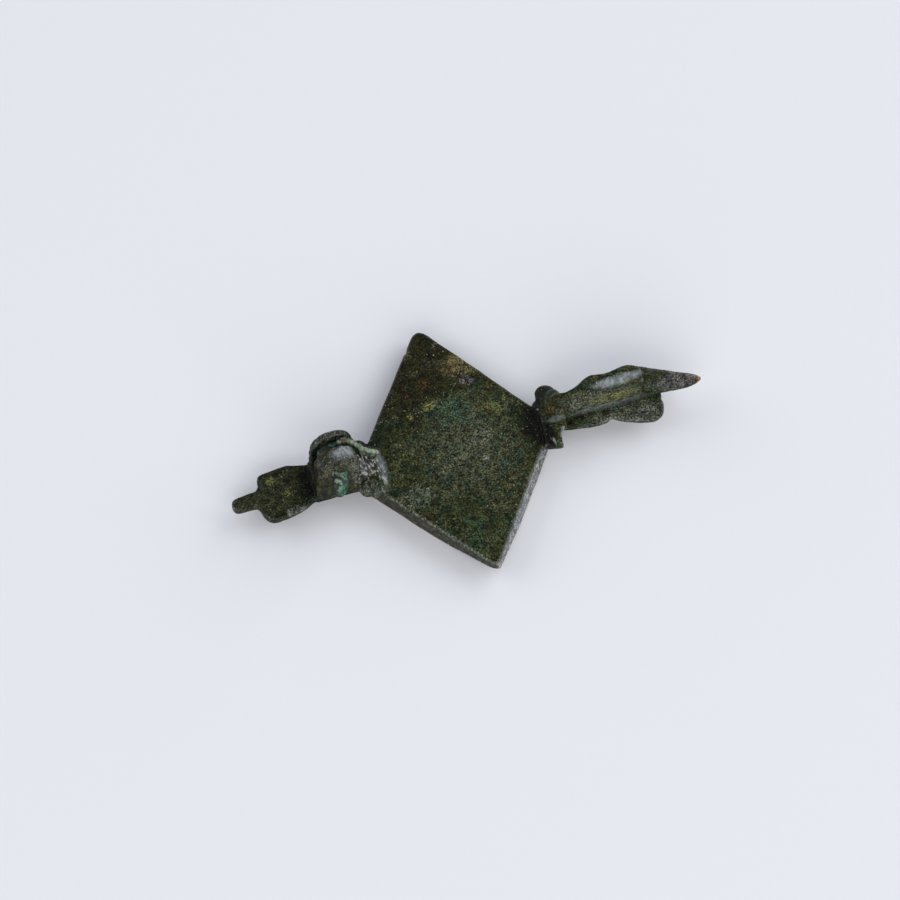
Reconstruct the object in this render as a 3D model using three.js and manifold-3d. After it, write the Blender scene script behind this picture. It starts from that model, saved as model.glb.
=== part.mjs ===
// A Roman plate brooch (fibula) of cast copper alloy, lying on its decorated front with its back up.
// A lozenge plate has a crossbar and a leaf-shaped terminal at each side corner. The back carries a
// hinge of two lugs over the left crossbar, with the corroded axis bar and the eye of the lost pin
// still in it, and a catchplate whose top is folded into a hook, standing on the right terminal.
// Millimetres. X runs from the hinge to the catch, Y across the brooch, and Z from the front, at 0,
// up to the back. The origin is the middle of the plate's front.

import * as THREE from "three";
import { mergeVertices } from "three/addons/utils/BufferGeometryUtils.js";
import Module from "manifold-3d";

const wasm = await Module();
wasm.setup();

// ---------------------------------------------------------------- driving dimensions

const BACK = 2.35; // height of the plate's back face

const PLATE = {
  corners: [[0, 13.3], [-9.9, -0.3], [0.41, -13.38], [9.75, -0.33]], // filed by eye, so not quite a rhombus
  rounding: [1.1, 0.5, 1.05, 0.5], // radius of each corner
  rim: 0.16, // worn edge
  groove: { inset: 1.7, width: 0.55, depth: 0.25 }, // one line cut round the front
  nick: { at: [-1.78, 11.1], radius: 0.4 }, // old damage on the edge
  bevels: [{ inset: 0.12, depth: 0.12 }, { inset: 0.4, depth: 1.9 }], // the back's south edges, west and east
  thinning: { length: 6, rise: 1.4 }, // the front slopes up towards the worn south corner
};

const LEFT_BAR = { x: -8.8, z: 1.95, waist: 0.85, knob: 1.06, south: -2.62, north: 3.25 };
const RIGHT_BAR = {
  x: 9.25, z: 2.15, turn: -8.7, // it stands askew by this angle in degrees
  waist: 0.9, knob: 1.0, north: 3.72,
  block: { half: 0.95, waist: 0.72, south: -2.98, low: 2.0, top: 3.05 }, // its squared south end
};

const LEAF = { back: 2.3, rim: 0.26, belly: 0.95 }; // thickness of both terminals
const LEFT_LEAF = {
  edge: 1.3, // underside of its rim
  neck: -13.2, shoulder: -18.75, halfWidth: 2.62, taper: -15.6, neckHalf: 1.6, tongueHalf: 0.68, tip: -21.6,
};
const RIGHT_LEAF = {
  edge: 1.6,
  neck: 10.2, neckHalf: 1.25, lobeHalf: 1.6, notchX: 15.0, notchHalf: 1.3,
  wideX: 18.6, wideHalf: 2.62, shoulder: 20.15,
  blade: { root: 17.6, tip: 24.3, half: 0.42, low: 2.1, sag: 0.32, tipDepth: 0.75 }, // the long narrow tongue
};

const HINGE = {
  x: -11.5, z: 5.65, radius: 2.08, // the lugs' round heads
  worn: { by: 0.18, peak: 62 }, // they are out of round, highest at this angle in degrees from +X
  far: { north: 2.05, thick: 0.62, tail: -6.85, tailShift: 0.35, flare: 0.15 },
  near: { north: 0.5, top: -1.05, foot: -1.6, flare: 0.4 }, // its south face slopes outwards to the foot
  slotFloor: 3.1,
  foot: { west: -13.9, east: -9.6, bottom: 1.2 },
  saddle: { east: -7.75, crest: 2.98, foot: -6.9, south: -2.95, north: 1.25, head: 5.3, lap: -1.25 },
};
const AXIS = { x: -11.4, z: 5.35, radius: 0.74, south: -3.35, north: 2.2, gap: 0.06, droop: [-0.5, -0.12] };
const EYE = { radius: 1.6, south: 0.6, north: 1.32, room: 0.18 }; // the pin's eye, broken off short

const CATCH = {
  west: 9.0, east: 18.9, thick: 0.75,
  footY: 0.4, topY: 1.35, headZ: 6.1, // the wall leans to the north
  filled: 0.85, // how far corrosion fills the fold, out from the wall
  flap: { west: 13.5, east: 18.3, thick: 0.4, drop: 0.62, reach: 1.2 },
};

// ---------------------------------------------------------------- solids

// Turns a geometry into a solid, with its shared vertices merged and its faces pointing out.
function solid(geometry) {
  const bare = geometry.index ? geometry.toNonIndexed() : geometry.clone();
  bare.deleteAttribute("normal");
  bare.deleteAttribute("uv");
  const merged = mergeVertices(bare, 1e-4);
  const position = merged.getAttribute("position");
  const index = merged.index.array;
  const triangles = [];
  for (let i = 0; i < index.length; i += 3) {
    const [a, b, c] = [index[i], index[i + 1], index[i + 2]];
    if (a !== b && b !== c && c !== a) triangles.push(a, b, c);
  }
  const a = new THREE.Vector3();
  const b = new THREE.Vector3();
  const c = new THREE.Vector3();
  let volume = 0;
  for (let i = 0; i < triangles.length; i += 3) {
    a.fromBufferAttribute(position, triangles[i]);
    b.fromBufferAttribute(position, triangles[i + 1]);
    c.fromBufferAttribute(position, triangles[i + 2]);
    volume += a.dot(b.cross(c));
  }
  if (volume < 0) triangles.reverse();
  return new wasm.Manifold(
    new wasm.Mesh({
      numProp: 3,
      vertProperties: new Float32Array(position.array),
      triVerts: new Uint32Array(triangles),
    }),
  );
}

const join = (first, ...others) => others.reduce((sum, next) => sum.add(next), first);
const cut = (first, ...others) => others.reduce((rest, next) => rest.subtract(next), first);

// The outer skin of a joined solid: pockets shut in between its parts are filled, as metal would.
// Slivers finer than the tolerance are smoothed away with them.
const whole = (joined, tolerance = 0.01) =>
  joined
    .decompose()
    .reduce((most, piece) => (piece.volume() > most.volume() ? piece : most))
    .simplify(tolerance);

function named(name, body, material) {
  const made = body.getMesh();
  const geometry = new THREE.BufferGeometry();
  geometry.setAttribute("position", new THREE.BufferAttribute(new Float32Array(made.vertProperties), 3));
  geometry.setIndex(new THREE.BufferAttribute(new Uint32Array(made.triVerts), 1));
  geometry.computeVertexNormals();
  const mesh = new THREE.Mesh(geometry, material);
  mesh.name = name;
  return mesh;
}

// A skin over rings of equal length, closed by a fan at each end.
function loft(rings) {
  const around = rings[0].length;
  const points = rings.flat();
  const middle = (ring) =>
    ring.reduce((sum, p) => sum.add(p), new THREE.Vector3()).divideScalar(ring.length);
  const first = points.push(middle(rings[0])) - 1;
  const last = points.push(middle(rings.at(-1))) - 1;
  const faces = [];
  for (let k = 0; k < around; k++) {
    const next = (k + 1) % around;
    faces.push(first, next, k);
    const end = (rings.length - 1) * around;
    faces.push(last, end + k, end + next);
    for (let r = 0; r + 1 < rings.length; r++) {
      const low = r * around;
      const high = low + around;
      faces.push(low + k, low + next, high + next, low + k, high + next, high + k);
    }
  }
  const geometry = new THREE.BufferGeometry().setFromPoints(points);
  geometry.setIndex(faces);
  return geometry;
}

// A closed polygon with each corner rounded by an arc-like curve of its own radius.
function roundedPolygon(corners, radii) {
  const shape = new THREE.Shape();
  corners.forEach(([x, y], i) => {
    const at = new THREE.Vector2(x, y);
    const before = new THREE.Vector2(...corners.at(i - 1)).sub(at);
    const after = new THREE.Vector2(...corners[(i + 1) % corners.length]).sub(at);
    const half = Math.acos(before.clone().normalize().dot(after.clone().normalize())) / 2;
    const back = radii[i] / Math.tan(half);
    const start = at.clone().add(before.setLength(back));
    const end = at.clone().add(after.setLength(back));
    if (i === 0) shape.moveTo(start.x, start.y);
    else shape.lineTo(start.x, start.y);
    shape.quadraticCurveTo(x, y, end.x, end.y);
  });
  shape.closePath();
  return shape;
}

// A flat plate from z = low to z = high, with its rims rounded over.
function slab(shape, low, high, rim, steps = 2) {
  const geometry = new THREE.ExtrudeGeometry(shape, {
    depth: high - low - 2 * rim,
    bevelThickness: rim,
    bevelSize: rim,
    bevelOffset: -rim,
    bevelSegments: steps,
    curveSegments: 5,
  });
  return solid(geometry.translate(0, 0, low + rim));
}

// A profile drawn in X and Z, given thickness along Y from north to south.
function upright(shape, north, south, rim = 0.12) {
  const geometry = new THREE.ExtrudeGeometry(shape, {
    depth: north - south - 2 * rim,
    bevelThickness: rim,
    bevelSize: rim,
    bevelOffset: -rim,
    bevelSegments: 2,
    curveSegments: 6,
  });
  return solid(geometry.rotateX(Math.PI / 2).translate(0, north - rim, 0));
}

const box = (west, east, south, north, low, high) =>
  solid(
    new THREE.BoxGeometry(east - west, north - south, high - low).translate(
      (west + east) / 2, (south + north) / 2, (low + high) / 2,
    ),
  );

const lump = (x, y, z, rx, ry, rz) =>
  solid(new THREE.SphereGeometry(1, 20, 12).scale(rx, ry, rz).translate(x, y, z));

// ---------------------------------------------------------------- the lozenge plate

function lozenge() {
  const { corners, rounding, rim, groove, nick, bevels } = PLATE;
  const plate = slab(roundedPolygon(corners, rounding), 0, BACK, rim);
  const shrunk = (inset) => {
    const halfAngle = Math.atan2(corners[3][0], corners[0][1]);
    const share = 1 - inset / (corners[0][1] * Math.sin(halfAngle));
    return roundedPolygon(corners.map(([x, y]) => [x * share, y * share]), rounding);
  };
  const prism = (inset, height) =>
    solid(
      new THREE.ExtrudeGeometry(shrunk(inset), { depth: height, bevelEnabled: false, curveSegments: 5 })
        .translate(0, 0, -height / 2),
    );
  const line = prism(groove.inset, 2 * groove.depth).subtract(
    prism(groove.inset + groove.width, 4 * groove.depth),
  );
  const bite = lump(...nick.at, BACK, nick.radius, nick.radius, 2 * nick.radius);
  const sloped = bevels.map((bevel, i) => edgeCut(corners[i + 1], corners[i + 2], bevel));
  return cut(plate, line, bite, cornerWear(), ...sloped);
}

// A block whose tilted face takes the corner off the back's rim between two corners of the plate.
function edgeCut([x0, y0], [x1, y1], { inset, depth }) {
  const length = Math.hypot(x1 - x0, y1 - y0) + 2;
  const block = new THREE.BoxGeometry(length, 2, 8).translate(0, -1, 0).rotateX(-Math.atan2(inset, depth));
  return solid(
    block
      .translate(0, inset, 0)
      .rotateZ(Math.atan2(y1 - y0, x1 - x0))
      .translate((x0 + x1) / 2, (y0 + y1) / 2, BACK),
  );
}

// What is worn off the front under the south corner.
function cornerWear() {
  const { corners, thinning } = PLATE;
  const [x, y] = corners[2];
  const slope = Math.atan2(thinning.rise, thinning.length);
  return solid(
    new THREE.BoxGeometry(20, 4 * thinning.length, 4).translate(0, 0, -2).rotateX(-slope)
      .translate(x, y, thinning.rise),
  );
}

// ---------------------------------------------------------------- the crossbars

// A bar along Y turned from a profile of [y, radius] stations.
function turned(stations) {
  const curve = new THREE.CatmullRomCurve3(stations.map(([y, r]) => new THREE.Vector3(r, y, 0)));
  const profile = curve.getPoints(stations.length * 3).map((p) => new THREE.Vector2(Math.max(p.x, 0), p.y));
  profile[0].x = 0;
  profile.at(-1).x = 0;
  return solid(new THREE.LatheGeometry(profile, 20));
}

function leftBar() {
  const { x, z, waist, knob, south, north } = LEFT_BAR;
  return turned([
    [south, 0], [south + 0.3, 0.72 * knob], [south + 1.0, knob], [south + 1.8, waist + 0.05],
    [0, waist], [north - 1.7, waist + 0.05], [north - 0.95, 0.95 * knob],
    [north - 0.25, 0.65 * knob], [north, 0],
  ]).translate(x, 0, z);
}

function rightBar() {
  const { x, z, turn, waist, knob, north, block } = RIGHT_BAR;
  const { half, south, low, top } = block;
  const bar = turned([
    [-1.2, 0], [-1.0, 0.8 * waist], [0, waist], [north - 2.1, waist],
    [north - 1.2, knob], [north - 0.4, 0.92 * knob], [north - 0.08, 0.55 * knob], [north, 0],
  ]).translate(0, 0, z);
  const outline = new THREE.Shape();
  outline.moveTo(-half, south);
  outline.quadraticCurveTo(-block.waist, south + 1.1, -half, 0);
  outline.lineTo(-half, 0.9);
  outline.lineTo(half + 0.6, 0.9);
  outline.lineTo(half + 0.6, -0.9);
  outline.quadraticCurveTo(block.waist - 0.2, south + 1.0, half, south);
  outline.closePath();
  const web = lump(-0.6, 1.6, z - 0.45, 0.9, 1.05, 0.85); // metal left between plate and knob
  const throat = lump(0.5, 1.75, z + 0.85, 0.9, 0.9, 1.5); // and between the knob and the catchplate
  const parts = join(bar, slab(outline, low, top, 0.32, 3), web, throat);
  return parts.rotate([0, 0, turn]).translate(x, 0, 0);
}

// ---------------------------------------------------------------- the terminals

// The lower half of an ellipsoid: the swelling of a terminal's front.
const belly = (x, y, rx, ry, edge) =>
  lump(x, y, edge + 0.3, rx, ry, LEAF.belly + 0.3).subtract(box(x - 9, x + 9, -9, 9, edge + 0.3, 9));

function leftLeaf() {
  const { edge, neck, shoulder, halfWidth, taper, neckHalf, tongueHalf, tip } = LEFT_LEAF;
  const outline = new THREE.Shape();
  const corner = 0.75;
  const root = shoulder - 0.45; // where the tongue leaves the body
  outline.moveTo(neck, neckHalf + 0.5);
  outline.quadraticCurveTo(taper + 1.2, halfWidth - 0.45, taper, halfWidth - 0.02);
  outline.lineTo(shoulder + corner, halfWidth - 0.22);
  outline.quadraticCurveTo(shoulder, halfWidth - 0.25, shoulder, halfWidth - 0.3 - corner);
  outline.quadraticCurveTo(shoulder, tongueHalf + 0.15, root, tongueHalf + 0.12);
  outline.lineTo(tip + tongueHalf, tongueHalf - 0.05);
  outline.quadraticCurveTo(tip, tongueHalf - 0.1, tip, -0.1);
  outline.quadraticCurveTo(tip, -tongueHalf - 0.05, tip + tongueHalf, -tongueHalf - 0.1);
  outline.lineTo(root, -tongueHalf - 0.1);
  outline.quadraticCurveTo(shoulder - 0.4, -tongueHalf - 0.15, shoulder - 0.35, -tongueHalf - 0.6);
  outline.quadraticCurveTo(shoulder - 0.2, -halfWidth - 0.05, shoulder + corner + 0.2, -halfWidth - 0.06);
  outline.quadraticCurveTo(taper, -halfWidth + 0.1, neck - 0.9, -neckHalf - 0.05);
  outline.lineTo(neck, -neckHalf + 0.2);
  outline.closePath();
  return join(
    slab(outline, edge, LEAF.back, LEAF.rim),
    belly((shoulder + taper) / 2, -0.1, 2.3, 2.1, edge),
  );
}

function rightLeaf() {
  const { edge, neck, neckHalf, lobeHalf, notchX, notchHalf, wideX, wideHalf, shoulder } = RIGHT_LEAF;
  const side = [ // half-outline of the two lobes, from the neck to the tongue's root
    [neck, neckHalf - 0.1], [12.2, lobeHalf - 0.13], [13.8, lobeHalf], [notchX - 0.45, lobeHalf - 0.08],
    [notchX, notchHalf], [notchX + 0.7, notchHalf + 0.4], [wideX - 1.6, wideHalf - 0.35],
    [wideX - 0.25, wideHalf], [wideX + 0.5, wideHalf], [shoulder - 0.4, wideHalf - 0.38],
    [shoulder - 0.1, wideHalf - 1], [shoulder + 0.02, 1.0], [shoulder - 0.1, 0.45],
  ];
  const outline = new THREE.Shape();
  outline.moveTo(neck, -side[0][1]);
  outline.splineThru(side.slice(1).map(([x, half]) => new THREE.Vector2(x, -half)));
  outline.lineTo(side.at(-1)[0], side.at(-1)[1]);
  outline.splineThru(side.slice(0, -1).reverse().map(([x, half]) => new THREE.Vector2(x, half)));
  outline.closePath();
  return join(
    slab(outline, edge, LEAF.back, LEAF.rim),
    belly(13.2, 0, 2.6, 1.3, edge),
    belly(17.9, 0, 2.4, 2.1, edge),
    blade(),
  );
}

// The right terminal's long tongue, which the catch runs out along as a blade.
function blade() {
  const { root, tip, half, low, sag } = RIGHT_LEAF.blade;
  const rings = [];
  const steps = 14;
  for (let i = 0; i <= steps; i++) {
    const t = i / steps;
    const x = root + (tip - root) * t;
    const swell = half * Math.sqrt(Math.max(1 - t ** 7, 0.03)) * (0.35 + 0.65 * Math.min(2.2 * t, 1));
    const middle = 0.2 + 0.08 * t ** 4;
    const crest = bladeCrest(x);
    const keel = low - sag * THREE.MathUtils.smoothstep(x, CATCH.east + 1, tip - 1) * (1 - 0.6 * t ** 12);
    const at = (y, z) => new THREE.Vector3(x, y, z);
    rings.push([
      at(middle - swell, keel + 0.22), at(middle - swell, keel + 0.5),
      at(crest.y - crest.half, crest.z - 0.14), at(crest.y - 0.35 * crest.half, crest.z),
      at(crest.y + 0.35 * crest.half, crest.z), at(crest.y + crest.half, crest.z - 0.14),
      at(middle + swell, keel + 0.5), at(middle + swell, keel + 0.22),
      at(middle + swell * 0.5, keel), at(middle - swell * 0.5, keel),
    ]);
  }
  return solid(loft(rings));
}

// The blade's crest runs down from the end of the catchplate to the tip.
function bladeCrest(x) {
  const { tip, low, tipDepth } = RIGHT_LEAF.blade;
  const t = THREE.MathUtils.clamp((x - CATCH.east) / (tip - CATCH.east), 0, 1);
  return {
    y: THREE.MathUtils.lerp(CATCH.topY - 0.4, 0.32, t),
    z: THREE.MathUtils.lerp(5.85, low + tipDepth, t) - 0.35 * t ** 10,
    half: THREE.MathUtils.lerp(0.24, 0.15, t),
  };
}

// ---------------------------------------------------------------- the catchplate

// Height of the catchplate's top along X: it climbs from the neck, dips, and drops at its end.
const catchTop = new THREE.SplineCurve([
  new THREE.Vector2(CATCH.west, 3.9), new THREE.Vector2(10.0, 4.8), new THREE.Vector2(10.9, 4.7),
  new THREE.Vector2(12.1, 5.15), new THREE.Vector2(12.9, 5.95), new THREE.Vector2(13.6, 6.3),
  new THREE.Vector2(15.3, 6.0), new THREE.Vector2(16.5, 6.3), new THREE.Vector2(17.4, 6.3),
  new THREE.Vector2(18.1, 5.9), new THREE.Vector2(CATCH.east + 0.3, 5.3),
]);

function catchWall() {
  const rings = [];
  const { footY, topY, thick, west, headZ, filled, flap } = CATCH;
  const foot = RIGHT_LEAF.edge + 0.3;
  for (const { x, y: top } of catchTop.getSpacedPoints(26)) {
    const start = THREE.MathUtils.clamp(1 - (x - west) / 3.4, 0, 1); // thicker where it leaves the bar
    const under = THREE.MathUtils.smoothstep(x, flap.west - 3, flap.west + 0.1);
    const fill = filled * under * (1 - THREE.MathUtils.smoothstep(x, flap.east - 0.4, flap.east + 0.6));
    const half = thick / 2;
    const lean = (z) => footY + (topY - footY) * ((z - LEAF.back) / (headZ - LEAF.back));
    const at = (y, z) => new THREE.Vector3(x, y, z);
    const spread = half + 0.1 + 0.8 * start;
    rings.push([
      at(footY - spread - 0.05, foot), at(footY - spread, LEAF.back + 0.05),
      at(lean(LEAF.back + 0.6) - half - 0.6 * start - 0.25 * fill, LEAF.back + 0.6),
      at(lean(top - 0.8) - half - fill, top - 0.9),
      at(lean(top) - 0.5 * half, top - 0.16), at(lean(top) + 0.1 + 0.3 * start, top),
      at(lean(top) + half + 0.3 * start, top - 0.3),
      at(lean(LEAF.back + 0.6) + half + 0.3 * start, LEAF.back + 0.6),
      at(footY + spread + 0.2, LEAF.back + 0.05), at(footY + spread + 0.2, foot),
    ]);
  }
  return solid(loft(rings));
}

// The top of the wall folded over to the south: a strip that widens towards the open end.
function catchFlap() {
  const { west, east, thick, drop, reach } = CATCH.flap;
  const rings = [];
  const steps = 8;
  for (let i = 0; i <= steps; i++) {
    const t = i / steps;
    const x = west + (east - west) * t;
    const span = Math.min(0.35 + 2.4 * t, 1); // how far the fold reaches at this place
    const crest = { y: CATCH.topY + 0.1 - 0.3 * t ** 3, z: CATCH.headZ - 0.05 + 0.12 * t };
    const edge = { y: crest.y - 0.1 - reach * span, z: crest.z + 0.05 - drop * span };
    const at = (y, z) => new THREE.Vector3(x, y, z);
    rings.push([
      at(crest.y, crest.z - 0.1), at(crest.y - 0.3, crest.z + 0.06),
      at(edge.y + 0.06, edge.z + 0.06), at(edge.y, edge.z - 0.08),
      at(edge.y + 0.06, edge.z - thick), at(edge.y + 0.25, edge.z - thick),
      at(crest.y - 0.4, crest.z - thick), at(crest.y, crest.z - thick - 0.1),
    ]);
  }
  return solid(loft(rings));
}

// ---------------------------------------------------------------- the hinge

// Points along a lug's outline in X and Z: up its west side, which flares at the foot, and over its
// head to the given angle from +X.
function lugOutline(low, flare, lastAngle = 0) {
  const { x, z, radius, worn } = HINGE;
  const points = [new THREE.Vector2(x - radius - flare, low)];
  const steps = 14;
  for (let i = 0; i <= steps; i++) {
    const angle = THREE.MathUtils.degToRad(180 + (lastAngle - 180) * (i / steps));
    const out = radius + worn.by * Math.cos(2 * (angle - THREE.MathUtils.degToRad(worn.peak)));
    points.push(new THREE.Vector2(x + out * Math.cos(angle), z + out * Math.sin(angle)));
  }
  return points;
}

// The near lug's south face slopes out to a wider foot.
function nearLug() {
  const { x, near, foot, z, radius } = HINGE;
  const low = foot.bottom;
  const east = new THREE.Vector2(x + radius, low);
  const south = [...lugOutline(low, near.flare), east];
  const north = [...lugOutline(low, near.flare / 4), east];
  const rounding = 0.16;
  const layers = [
    { t: 0, inset: rounding, back: 0 }, { t: 0, inset: 0, back: rounding },
    { t: 0.5, inset: 0, back: 0 }, { t: 1, inset: 0, back: -rounding }, { t: 1, inset: rounding, back: 0 },
  ];
  const rings = layers.map(({ t, inset, back }) =>
    south.map((p, i) => {
      const at = north[i].clone().lerp(p, t);
      const share = 1 - inset / radius;
      const zHere = low + (at.y - low) * share;
      const face = near.top + (near.foot - near.top) * ((z + radius - zHere) / (z + radius - low));
      const y = THREE.MathUtils.lerp(near.north, face, t) - back;
      return new THREE.Vector3(x + (at.x - x) * share, y, zHere);
    }),
  );
  return solid(loft(rings));
}

// The thin far lug, with a long concave tail that runs down to the plate and bends south.
function farLug() {
  const { x, radius, far, foot } = HINGE;
  const low = foot.bottom;
  const head = lugOutline(low, far.flare, 15);
  const start = head.at(-1);
  const tail = new THREE.QuadraticBezierCurve(
    start, new THREE.Vector2(start.x + 0.5, BACK + 1.05), new THREE.Vector2(far.tail, BACK),
  );
  const outline = [...head, ...tail.getPoints(8).slice(1), new THREE.Vector2(far.tail, low + 0.3)];
  const bend = (px) => far.tailShift * THREE.MathUtils.smoothstep(px, x + radius - 0.6, far.tail - 0.4);
  const layers = [[0, 0.1], [0.12, 0], [far.thick - 0.12, 0], [far.thick, 0.1]];
  const rings = layers.map(([depth, inset]) =>
    outline.map((p) => {
      const height = p.y > low + 0.4 ? p.y - inset : p.y;
      const px = x + (p.x - x) * (p.x < x ? 1 - inset / radius : 1);
      return new THREE.Vector3(px, far.north - depth - bend(p.x), height);
    }),
  );
  return solid(loft(rings));
}

// The common foot of both lugs, and the saddle that slopes from them down to the plate.
function hingeFoot() {
  const { foot, near, far, saddle, slotFloor } = HINGE;
  const base = new THREE.Shape();
  base.moveTo(foot.west + 0.1, foot.bottom);
  base.lineTo(foot.west + 0.1, slotFloor - 0.3);
  base.quadraticCurveTo(foot.west + 0.1, slotFloor, foot.west + 0.4, slotFloor);
  base.lineTo(foot.east, slotFloor);
  base.lineTo(saddle.east, saddle.crest);
  base.lineTo(saddle.foot, BACK);
  base.lineTo(saddle.foot, foot.bottom + 0.4);
  base.closePath();
  const strip = new THREE.Shape(); // the sloped end face of the saddle, on the plate
  strip.moveTo(saddle.east - 0.9, BACK - 0.6);
  strip.lineTo(saddle.east - 0.9, saddle.crest - 0.25);
  strip.lineTo(saddle.east, saddle.crest);
  strip.lineTo(saddle.foot, BACK + 0.02);
  strip.lineTo(saddle.foot, BACK - 0.6);
  strip.closePath();
  const slope = new THREE.Shape(); // the saddle itself, a long hollow slope
  slope.moveTo(foot.east - 0.5, slotFloor - 0.5);
  slope.lineTo(foot.east - 0.5, saddle.head);
  slope.quadraticCurveTo(foot.east + 0.45, 3.9, saddle.east, saddle.crest + 0.05);
  slope.lineTo(saddle.east, slotFloor - 0.5);
  slope.closePath();
  return join(
    upright(base, far.north - 0.1, near.foot + 0.35),
    upright(strip, saddle.north, saddle.south, 0.1),
    upright(slope, saddle.north + 0.3, saddle.lap, 0.2),
    lump(saddle.east - 1.0, -1.5, BACK - 0.2, 1.2, 1.05, 0.95), // crust over the bar's south knob
  );
}

// ---------------------------------------------------------------- the pieces

const along = (radius, south, north, sides = 20) =>
  solid(
    new THREE.CylinderGeometry(radius, radius, north - south, sides)
      .translate(AXIS.x, (north + south) / 2, AXIS.z),
  );

function brooch() {
  const hole = along(AXIS.radius + AXIS.gap, HINGE.near.foot - 1, HINGE.far.north + 1);
  const room = along(EYE.radius + EYE.room, HINGE.near.north, HINGE.far.north - HINGE.far.thick, 24);
  const hinge = cut(join(hingeFoot().subtract(room), nearLug(), farLug()), hole);
  return whole(
    join(lozenge(), leftBar(), rightBar(), leftLeaf(), rightLeaf(), catchWall(), catchFlap(), hinge),
  );
}

// The axis bar, with its south end standing out of the near lug, worn narrow.
function axisBar() {
  const { radius, south, north, droop } = AXIS;
  const mouth = HINGE.near.foot; // beyond this the bar is clear of the lug, and bends
  const stations = [
    [south, 0.5], [south + 0.12, 0.75], [south + 0.45, 0.92], [south + 0.9, 1], [south + 1.4, 1],
    [mouth, 1], [north - 0.12, 1], [north, 0.85],
  ];
  const sides = 20;
  const rings = stations.map(([y, share]) => {
    const bend = Math.max(mouth - y, 0) / (mouth - south);
    return Array.from({ length: sides }, (_, k) => {
      const angle = (2 * Math.PI * k) / sides;
      return new THREE.Vector3(
        AXIS.x + bend * droop[0] + share * radius * Math.cos(angle),
        y,
        AXIS.z + bend * droop[1] + share * radius * Math.sin(angle),
      );
    });
  });
  return solid(loft(rings));
}

// What is left of the pin: its eye round the axis, with the broken root of its shank.
function pinEye() {
  const { radius, south, north } = EYE;
  const middle = (south + north) / 2;
  const root = lump(AXIS.x + 0.95, middle, AXIS.z + 1.15, 0.75, middle - south, 0.85);
  const bore = along(AXIS.radius + AXIS.gap, south - 1, north + 1);
  return along(radius, south, north, 24).add(root).subtract(bore);
}

const bronze = new THREE.MeshStandardMaterial({ color: 0x30342a, roughness: 0.62, metalness: 0.35 });
const malachite = new THREE.MeshStandardMaterial({ color: 0x3f7a63, roughness: 0.8, metalness: 0.05 });
const crusted = new THREE.MeshStandardMaterial({ color: 0x35453a, roughness: 0.85, metalness: 0.05 });

const fibula = new THREE.Group();
fibula.name = "roman_plate_brooch";
fibula.add(
  named("brooch_body", brooch(), bronze),
  named("hinge_axis", axisBar(), malachite),
  named("pin_eye", pinEye(), crusted),
);

export default fibula;
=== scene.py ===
"""Dresses a Roman plate brooch: its corroded metal skin, its seized hinge and the light it lies in.

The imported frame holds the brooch's solids at their real size. Each one is copied, given a fine
skin with its casting marks, pits and crust, and painted with the greens and browns of old bronze.
Skins are worked in millimetres and brought back to metres at the end. The hinge lies to the west,
along -X, the catch to the east and the brooch's front on the table, so its back is seen.
"""

import math

import bpy
import numpy as np
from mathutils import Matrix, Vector


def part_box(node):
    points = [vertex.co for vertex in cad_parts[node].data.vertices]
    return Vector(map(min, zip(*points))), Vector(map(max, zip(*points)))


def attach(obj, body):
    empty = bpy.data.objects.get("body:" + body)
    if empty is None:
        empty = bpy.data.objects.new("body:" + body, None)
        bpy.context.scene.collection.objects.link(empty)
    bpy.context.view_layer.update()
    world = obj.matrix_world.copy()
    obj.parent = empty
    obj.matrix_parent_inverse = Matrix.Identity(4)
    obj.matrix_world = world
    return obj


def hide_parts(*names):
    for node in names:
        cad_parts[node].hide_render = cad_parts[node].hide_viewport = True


bl_info = {
    "name": "Roman Plate Brooch",
    "version": (1, 0, 0),
    "blender": (4, 5, 0),
    "location": "View3D > Sidebar > Brooch",
    "description": "Builds the corroded skin of a Roman plate brooch over its solids",
    "category": "Object",
}

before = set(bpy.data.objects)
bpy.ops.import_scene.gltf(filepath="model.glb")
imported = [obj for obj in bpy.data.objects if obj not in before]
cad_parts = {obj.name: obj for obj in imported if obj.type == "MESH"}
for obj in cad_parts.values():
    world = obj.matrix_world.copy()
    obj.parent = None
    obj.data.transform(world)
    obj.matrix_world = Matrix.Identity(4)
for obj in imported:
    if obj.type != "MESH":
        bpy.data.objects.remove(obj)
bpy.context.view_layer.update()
MM = 0.001

BODY = "brooch_body"
AXIS = "hinge_axis"
EYE = "pin_eye"


def box_mm(node):
    """A node's lowest and highest corners, in millimetres."""
    low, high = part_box(node)
    return low / MM, high / MM


# Places on the brooch, in millimetres, and directions across it.
AXIS_LOW, AXIS_HIGH = box_mm(AXIS)
BACK = 2.35  # height of the plate's back face
WEST, SOUTH, EAST = (-9.9, -0.3), (0.41, -13.38), (9.75, -0.33)  # corners of the plate
HINGE = Vector((AXIS_LOW.x + 1.0, 0.4, AXIS_LOW.z + 0.7))  # on the hinge's axis
FOLD = Vector((14.0, 0.6, 5.6))  # where the fold of the catchplate begins
CATCH_SADDLE = (9.3, 0.6, 3.3)  # where the catchplate comes down to the crossbar
CATCH_CROSSBAR = (9.6, 0.6, 3.4)  # the middle of the crust on that crossbar
TO_WEST, TO_EAST, TO_SOUTH = (-1, 0, 0), (1, 0, 0), (0, -1, 0)
TO_NORTH_WEST = (-0.5, 0.86, 0)
UP, DOWN = (0, 0, 1), (0, 0, -1)

SOFTENED = (  # edges that corrosion has rounded off: middle and reach
    (FOLD, (2.4, 2.5, 2.0)),
    (CATCH_SADDLE, (2.2, 2.6, 1.8)),
)
HINGE_REACH = (6.5, 7, 6)  # how far the rough crust spreads about the hinge
CROSSBAR_REACH = (5, 5, 5)  # and about the crossbar at the catch

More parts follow.
